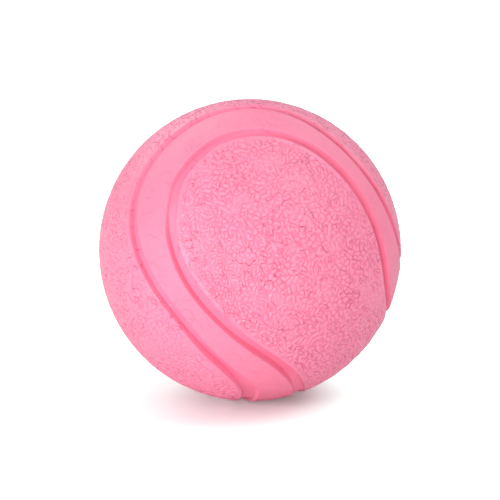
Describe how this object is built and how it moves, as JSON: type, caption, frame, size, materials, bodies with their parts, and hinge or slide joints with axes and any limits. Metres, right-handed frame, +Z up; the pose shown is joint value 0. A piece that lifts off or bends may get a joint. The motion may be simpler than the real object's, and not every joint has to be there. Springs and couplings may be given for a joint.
{
  "type": "dog toy ball",
  "caption": "Round pink rubber fetch ball with a hollow core, leather-grained cover panels and a smooth raised band that winds round it between grooves.",
  "frame": {"origin": "centre of the ball", "axes": "+Z up as the ball lies in the picture, and the ball is seen from -Y with +X to the right; its own axis, through the waists of the two panels, leans 40.2 degrees from +Z towards -X"},
  "size_m": [0.064, 0.064, 0.064],
  "materials": {
    "grained_rubber": "moulded leather grain, satin",
    "smooth_rubber": "smooth moulded rubber, satin",
    "core_rubber": "plain moulded rubber, matt"
  },
  "bodies": {
    "root": {"upper_core_half": "core_rubber", "lower_core_half": "core_rubber", "upper_panel": "grained_rubber", "lower_panel": "grained_rubber", "seam_band": "smooth_rubber"}
  },
  "joints": []
}
